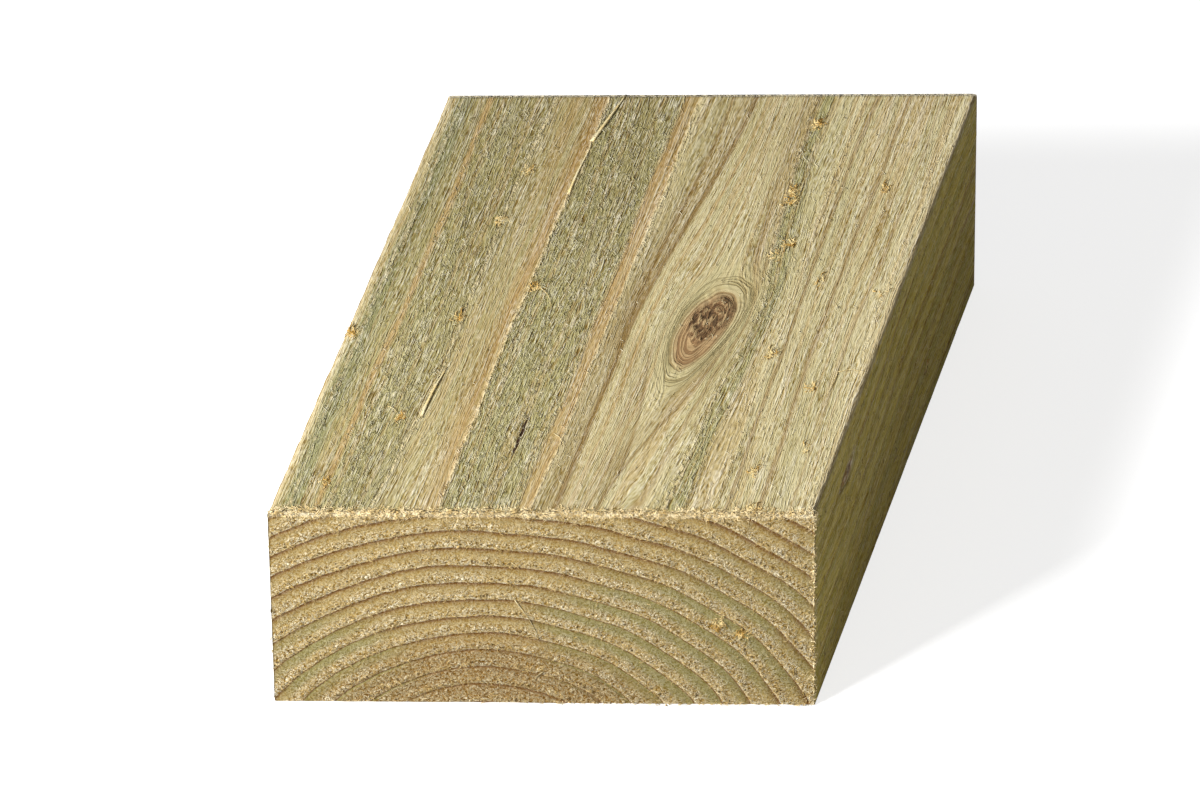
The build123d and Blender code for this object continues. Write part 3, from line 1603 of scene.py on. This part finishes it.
@dataclass
class Surface:
    """The stick's own faces as arrays, from which fibres take their roots."""

    stick: bpy.types.Object

    def __post_init__(self) -> None:
        """Reads each face's middle, direction and area."""
        polygons = self.stick.data.polygons
        area = np.empty(len(polygons), np.float32)
        polygons.foreach_get("area", area)
        self.middles = read_vectors(polygons, "center") / MM
        self.normals = read_vectors(polygons, "normal")
        self.area = area.astype(float) / MM**2

    def sample(self, rng: np.random.Generator, weight: np.ndarray, count: int) -> np.ndarray:
        """Numbers of random faces, drawn by area and weight."""
        chance = self.area * weight
        return rng.choice(len(chance), size=count, p=chance / chance.sum())

    def jitter(self, rng: np.random.Generator, picks: np.ndarray) -> np.ndarray:
        """Points spread about the picked faces, kept in their planes.

        Args:
            rng: Random draws.
            picks: Numbers of the faces.

        Returns:
            One point for each pick.
        """
        size = np.sqrt(self.area[picks])[:, None]
        move = rng.uniform(-0.5, 0.5, (len(picks), 3)) * size
        normal = self.normals[picks]
        return self.middles[picks] + move - normal * np.sum(move * normal, axis=1, keepdims=True)


@dataclass
class FibreWork:
    """All the loose fibres of the stud: on both ends, along the edges and on the long faces."""

    timber: Timber
    surface: Surface
    low: np.ndarray
    high: np.ndarray
    end_count: int = 6500
    end_size: FibreSize = FibreSize((0.4, 1.6), (0.12, 0.28), (-0.02, 0.3))
    fringe_count: int = 3600
    fringe_size: FibreSize = FibreSize((0.5, 2.2), (0.13, 0.3), (0.0, 0.35))
    upper_count: int = 9000
    side_count: int = 2400
    face_size: FibreSize = FibreSize((0.6, 2.8), (0.1, 0.22), (0.0, 0.16))
    tuft_share: int = 5
    tuft_spread: float = 0.42
    tuft_size: FibreSize = FibreSize((0.7, 2.4), (0.26, 0.56), (0.0, 0.25))
    margin: float = 1.0
    far_margin: float = 2.6
    facing: float = 0.6
    edge_reach: float = 1.3
    base_gap: float = 0.4
    right_fringe: float = 0.2
    left_fringe: float = 0.01
    long_fringe: float = 0.003
    aslant: float = 0.22
    splinter_rise: float = 0.05
    splinter_stand: float = 0.1
    # Place across and along the upper face, and size, of each tuft there.
    top_tufts: tuple[tuple[float, float, int], ...] = (
        (-48.2, -8.4, 7),
        (-29.6, -4.6, 5),
        (-29.4, 21.0, 6),
        (-32.6, -29.8, 5),
        (-17.8, 3.6, 6),
        (-40.8, -46.5, 3),
        (-28.4, 34.8, 4),
        (22.4, 46.6, 9),
        (22.6, 28.6, 10),
        (22.9, 26.0, 6),
        (26.2, 15.0, 7),
        (24.2, 12.0, 4),
        (39.6, 29.4, 4),
        (34.0, 4.8, 3),
        (46.4, 2.0, 3),
        (30.5, -14.0, 7),
        (40.2, -22.2, 4),
        (35.8, -43.6, 5),
        (43.2, -38.0, 2),
        (38.0, -53.0, 6),
    )
    # Place across and up the near end, or along and up the right edge, and size, of each tuft there.
    end_tufts: tuple[tuple[float, float, int], ...] = ((32.0, 20.0, 14), (36.4, 17.4, 9), (-14.6, 39.4, 3))
    edge_tufts: tuple[tuple[float, float, int], ...] = ((20.5, 11.0, 6),)
    # Root, tip, bow and thickness of each splinter, with places as for the tufts.
    top_splinters: tuple[tuple[Any, Any, Any, float], ...] = (
        ((-18.6, 42.0), (-15.9, 54.6), (0.1, 0.0, 0.2), 1.2),
        ((-18.9, 28.0), (-18.4, 41.0), (-0.15, 0.0, 0.15), 0.8),
        ((-28.8, -30.0), (-27.9, -17.5), (-0.2, 0.0, 0.2), 0.9),
        ((-17.2, 3.4), (-13.2, -2.6), (0.5, 0.3, 0.3), 0.3),
        ((-35.8, -27.6), (-33.0, -29.9), (0.0, 0.2, 0.3), 0.3),
        ((-3.4, -34.4), (-0.4, -38.0), (0.2, 0.2, 0.3), 0.25),
        ((43.8, -18.6), (49.4, -19.0), (0.0, 0.4, 0.3), 0.3),
        ((43.8, -18.6), (43.5, -24.0), (0.1, 0.0, 0.2), 0.3),
    )
    end_splinters: tuple[tuple[Any, Any, Any, float], ...] = (
        ((-4.8, 25.4), (-0.4, 15.8), (0.3, 0.0, 0.2), 0.5),
        ((-5.2, 34.5), (-3.9, 32.9), (0.1, 0.0, 0.1), 0.4),
        ((0.2, 8.0), (-1.6, 5.6), (-0.2, 0.0, 0.2), 0.4),
    )

    def _coat(self, finish: Union[FibreFinish, BandedFibreFinish], seed: Seed) -> FibreCoat:
        """An empty coat under its finish's name, which stays inside the stud's box."""
        return FibreCoat(finish.name, finish, self.low, self.high, seed)

    def ends(self) -> list[bpy.types.Object]:
        """Curly fibres on the two cut ends, thickest just outside the ring lines.

        Returns:
            The near end's fibres and the far end's.
        """
        x, y, z = self.surface.middles.T
        phase = fraction(self.timber.rings.count(x, y, z))
        weight = 0.03 + 1.6 * bell((phase - 0.18) / 0.1) + 0.5 * (1.0 - rise(phase, 0.35, 0.6))
        rim = self.margin * np.where(y > 0, self.far_margin, 1.0)
        weight *= (np.abs(x) < self.timber.width / 2 - rim) & (z > rim) & (z < self.timber.thickness - rim)
        made = []
        for name, way, seed in (
            ("near_end_fibres", -1.0, Seed.NEAR_END),
            ("far_end_fibres", 1.0, Seed.FAR_END),
        ):
            coat = self._coat(FibreFinish(name, Tone.END_PALE, Tone.END_TAN), seed)
            chosen = weight * (self.surface.normals[:, 1] * way > self.facing)
            picks = self.surface.sample(coat.rng, chosen, self.end_count)
            turn = coat.rng.uniform(0.0, 2.0 * math.pi, len(picks))
            headings = np.stack((np.cos(turn), np.zeros_like(turn), np.sin(turn)), axis=1)
            roots = self.surface.jitter(coat.rng, picks)
            coat.grow(roots, self.surface.normals[picks], headings, self.end_size)
            made.append(coat.build())
        return made

    def fringe(self) -> bpy.types.Object:
        """Torn fringe along the edges of the near end, and sparse hairs along the two upper long edges.

        Returns:
            The fringe.
        """
        coat = self._coat(FibreFinish("edge_fringe", Tone.FRINGE, Tone.END_PALE), Seed.FRINGE)
        x, y, z = self.surface.middles.T
        by_side = self.timber.width / 2 - np.abs(x) < self.edge_reach
        by_end = self.timber.length / 2 - np.abs(y) < self.edge_reach
        by_face = np.minimum(self.timber.thickness - z, z + self.base_gap) < self.edge_reach
        upper = z > self.timber.thickness / 2
        front = y < 0
        end_edge = by_end & (by_side | by_face)
        crest = end_edge & upper & by_face
        beside = np.where(x > 0, self.right_fringe, self.left_fringe)
        weight = np.where(crest & front, 1.0, 0.0)
        weight += np.where(end_edge & ~crest & front, beside, 0.0)
        weight += self.long_fringe * (by_side & by_face & upper)
        picks = self.surface.sample(coat.rng, weight, self.fringe_count)
        headings = coat.rng.normal(0.0, 1.0, (len(picks), 3))
        roots = self.surface.jitter(coat.rng, picks)
        coat.grow(roots, self.surface.normals[picks], headings, self.fringe_size)
        return coat.build()

    def faces(self) -> list[bpy.types.Object]:
        """Short raised fibres that lie along the grain where the soft wood tore.

        Returns:
            The upper face's fibres and the edges'.
        """
        x, y, z = self.surface.middles.T
        turned = np.abs(self.surface.normals)
        layout = self.timber.layout
        half_width, half_length = self.timber.width / 2, self.timber.length / 2
        grain = layout.grain(x, y)
        inside = (y > self.margin - half_length) & (y < half_length - 5.0 * self.margin)
        on_top = (self.surface.normals[:, 2] > self.facing) & (np.abs(x) < half_width - 2.0 * self.margin)
        on_side = (turned[:, 0] > self.facing) & (z > self.margin)
        on_side &= z < self.timber.thickness - 2.0 * self.margin
        phase = fraction(self.timber.rings.count(x, y, z))
        upper = (layout.fuzz(grain) ** 2 + 7.0 * layout.lip(grain)) * (on_top & inside)
        side = (0.5 + 0.5 * (1.0 - rise(phase, 0.4, 0.8))) * (on_side & inside)
        side_finish = FibreFinish("side_face_fibres", Tone.SIDE_STRAW, Tone.SIDE_TAN)
        made = []
        for finish, weight, count, seed in (
            (BandedFibreFinish(layout), upper, self.upper_count, Seed.UPPER_FACE),
            (side_finish, side, self.side_count, Seed.SIDE_FACE),
        ):
            coat = self._coat(finish, seed)
            picks = self.surface.sample(coat.rng, weight, count)
            aslant = coat.rng.normal(0.0, self.aslant, (2, count))
            headings = np.stack((aslant[0], coat.rng.choice((-1.0, 1.0), count), aslant[1]), axis=1)
            roots = self.surface.jitter(coat.rng, picks)
            coat.grow(roots, self.surface.normals[picks], headings, self.face_size)
            made.append(coat.build())
        return made

    def tufts(self) -> bpy.types.Object:
        """Amber tufts on the upper face, the near end and the right edge.

        Returns:
            The tufts.
        """
        coat = self._coat(FibreFinish("amber_tufts", Tone.SPLINTER, Tone.AMBER), Seed.TUFTS)
        top = self.timber.thickness - self.timber.skin
        near = -self.timber.length / 2 + self.timber.skin
        right = self.timber.width / 2 - self.timber.skin
        spots = [((x, y, top), (0.0, 0.0, 1.0), size) for x, y, size in self.top_tufts]
        spots += [((x, near, z), (0.0, -1.0, 0.0), size) for x, z, size in self.end_tufts]
        spots += [((right, y, z), (1.0, 0.0, 0.0), size) for y, z, size in self.edge_tufts]
        for place, facing, size in spots:
            count = self.tuft_share * size
            normals = np.tile(facing, (count, 1)).astype(float)
            turn = coat.rng.uniform(0.0, 2.0 * math.pi, count)
            spread = coat.rng.normal(0.0, self.tuft_spread, (count, 3))
            roots = np.array(place) + spread - normals * np.sum(spread * normals, axis=1, keepdims=True)
            flat = np.stack((0.4 * np.cos(turn), np.sin(turn), 0.6 * np.sin(turn)), axis=1)
            coat.grow(roots, normals, flat, self.tuft_size)
        return coat.build()

    def splinters(self) -> bpy.types.Object:
        """Long pale splinters and single hairs, most of them on the upper face.

        Returns:
            The splinters.
        """
        coat = self._coat(FibreFinish("pale_splinters", Tone.SPLINTER, Tone.PALE), Seed.SPLINTERS)
        top = self.timber.thickness - self.timber.skin + self.splinter_rise
        near = -self.timber.length / 2 + self.timber.skin - self.splinter_stand
        for start, end, bow, thickness in self.top_splinters:
            coat.splinter((*start, top), (*end, top), bow, thickness)
        for start, end, bow, thickness in self.end_splinters:
            coat.splinter((start[0], near, start[1]), (end[0], near, end[1]), bow, thickness)
        return coat.build()


@dataclass(frozen=True)
class PhotoCamera:
    """A far camera at the photograph's viewing angle.

    The photograph was straightened so that the stud's near end stands upright and level, which no plain
    camera does when it looks from one side. The stand that carries the camera holds that skew.
    """

    azimuth: float = 16.72
    elevation: float = 41.881
    roll: float = -0.743
    distance: float = 2136.3
    lens: float = 353.9
    skew: float = 0.1853
    aim_right: float = -4.98
    aim_up: float = 1.0
    clip: tuple[float, float] = (0.1, 50.0)

    def build(self, middle: Vector) -> bpy.types.Object:
        """Places the camera and makes it the scene's own.

        Args:
            middle: Middle of the stud, in metres.

        Returns:
            The camera.
        """
        turn, tilt, roll = (math.radians(v) for v in (self.azimuth, self.elevation, self.roll))
        back = Vector((math.sin(turn) * math.cos(tilt), -math.cos(turn) * math.cos(tilt), math.sin(tilt)))
        level = Vector((math.cos(turn), math.sin(turn), 0.0))
        upright = back.cross(level)
        right = level * math.cos(roll) + upright * math.sin(roll)
        up = upright * math.cos(roll) - level * math.sin(roll)
        aim = middle + (right * self.aim_right + up * self.aim_up) * MM
        spot = aim + back * self.distance * MM
        plain = self._pose(right, up, back, spot)
        skewed = self._pose((right - up * self.skew).normalized(), up, back, spot)

        data = bpy.data.cameras.new("photo_camera")
        data.lens = self.lens
        data.clip_start, data.clip_end = self.clip
        camera = add_object("photo_camera", data)
        stand = add_object("camera_stand", None)
        camera.matrix_world = plain
        camera.parent = stand
        camera.matrix_parent_inverse = skewed @ plain.inverted()
        bpy.context.scene.camera = camera
        return camera

    @staticmethod
    def _pose(right: Vector, up: Vector, back: Vector, spot: Vector) -> Matrix:
        """A pose whose three axes are the given ones.

        Args:
            right: The first axis.
            up: The second axis.
            back: The third axis.
            spot: Its place.

        Returns:
            The pose.
        """
        pose = Matrix((right, up, back)).transposed().to_4x4()
        pose.translation = spot
        return pose


@dataclass(frozen=True)
class Studio:
    """White floor and world, a soft key light from the upper left and a weak front fill."""

    floor_half: float = 3.0
    floor_gap: float = 0.02
    floor_albedo: float = 0.62
    floor_glow: float = 0.76
    ambient: float = 0.16
    key_from: tuple[float, float, float] = (-0.56, -0.54, 0.63)
    key_power: float = 12.0
    key_size: float = 0.22
    fill_from: tuple[float, float, float] = (-0.15, -0.97, 0.2)
    fill_power: float = 0.25
    fill_size: float = 0.7
    reach: float = 0.9

    def build(self) -> bpy.types.Object:
        """Makes the world, the lights and the floor.

        Returns:
            The floor.
        """
        scene = bpy.context.scene
        scene.view_settings.view_transform = "Standard"
        self._world(scene)
        self._lamp("key_light", self.key_from, self.key_power, self.key_size)
        self._lamp("front_fill", self.fill_from, self.fill_power, self.fill_size)
        work = bmesh.new()
        bmesh.ops.create_grid(work, x_segments=1, y_segments=1, size=self.floor_half)
        bmesh.ops.translate(work, vec=(0.0, 0.0, -self.floor_gap * MM), verts=work.verts)
        mesh = bpy.data.meshes.new("studio_floor")
        work.to_mesh(mesh)
        work.free()
        mesh.materials.append(self._floor_paint())
        return add_object("studio_floor", mesh)

    @staticmethod
    def _seen(graph: Graph) -> Value:
        """1 where a ray comes straight from the camera, a mirror or glass, and 0 elsewhere.

        Args:
            graph: The node tree.

        Returns:
            The number.
        """
        path = graph.node("LightPath", {}, {})
        seen = Value(graph, path.outputs["Is Camera Ray"])
        for kind in ("Is Glossy Ray", "Is Transmission Ray"):
            seen = larger(seen, Value(graph, path.outputs[kind]))
        return seen

    def _world(self, scene: bpy.types.Scene) -> None:
        """A white world that lights the stud only weakly.

        Args:
            scene: The scene that takes it.
        """
        world = bpy.data.worlds.new("studio_world")
        world.use_nodes = True
        scene.world = world
        graph = Graph(world.node_tree)
        soft = graph.node("Background", {}, {"Color": (1.0, 1.0, 1.0, 1.0), "Strength": self.ambient})
        white = graph.node("Background", {}, {"Color": (1.0, 1.0, 1.0, 1.0), "Strength": 1.0})
        both = graph.node("MixShader", {}, {0: self._seen(graph), 1: soft.outputs[0], 2: white.outputs[0]})
        graph.node("OutputWorld", {}, {0: both.outputs[0]})

    def _lamp(self, name: str, towards: Sequence[float], power: float, size: float) -> None:
        """A square soft lamp that faces the stud.

        Args:
            name: The lamp's name.
            towards: Direction from the stud to the lamp.
            power: Its power in watts.
            size: Its side in metres.
        """
        data = bpy.data.lights.new(name, "AREA")
        data.energy = power
        data.size = size
        lamp = add_object(name, data)
        direction = Vector(towards).normalized()
        lamp.location = direction * self.reach
        lamp.rotation_euler = direction.to_track_quat("Z", "Y").to_euler()

    def _floor_paint(self) -> bpy.types.Material:
        """Matt white paint that the camera sees as white, apart from the stud's shadow.

        Returns:
            The floor's material.
        """
        made, graph = Graph.for_material("studio_floor")
        matt = graph.node("BsdfDiffuse", {}, {"Color": (self.floor_albedo,) * 3 + (1.0,)})
        glow = graph.node("Emission", {}, {"Strength": self.floor_glow})
        white = graph.node("AddShader", {}, {0: matt.outputs[0], 1: glow.outputs[0]})
        both = graph.node("MixShader", {}, {0: self._seen(graph), 1: matt.outputs[0], 2: white.outputs[0]})
        graph.node("OutputMaterial", {}, {0: both.outputs[0]})
        return made


def attach(piece: bpy.types.Object) -> None:
    """Fixes a piece to the stud's body, and reports it.

    Args:
        piece: The piece's object.
    """
    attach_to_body(piece, BODY)
    faces = piece.data.polygons
    triangles = sum(len(face.vertices) - 2 for face in faces)
    LOG.info("%s: %d faces, %d triangles", piece.name, len(faces), triangles)


def main() -> None:
    """Builds the stud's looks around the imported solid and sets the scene."""
    logging.basicConfig(level=logging.INFO, format="%(name)s %(message)s")
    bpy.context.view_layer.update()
    low, high = (np.array(corner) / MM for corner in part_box(NODE))
    width, length, thickness = high - low
    rings = GrowthRings()
    layout = UpperFaceLayout(half_width=width / 2)
    timber = Timber(width, length, thickness, rings, layout)
    stick = timber.build()
    edge_knot = Knot(across=36.0, along=-33.0, half_width=1.7, half_length=4.0, heart=0.4)
    pin_knot = Knot(across=-3.1, along=-7.0, half_width=1.4, half_length=2.6, heart=0.4)
    timber.dress(
        stick,
        (
            EndGrainFinish(rings, thickness),
            UpperFaceFinish(layout, length / 2),
            SideFaceFinish(rings, width / 2, length / 2, thickness, edge_knot, pin_knot),
        ),
    )
    fibres = FibreWork(timber, Surface(stick), low, high)
    pieces = [stick, *fibres.ends(), fibres.fringe(), *fibres.faces(), fibres.tufts(), fibres.splinters()]
    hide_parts(NODE)
    for piece in pieces:
        attach(piece)
    Studio().build()
    PhotoCamera().build(Vector((low + high) / 2 * MM))


if __name__ == "__main__":
    main()
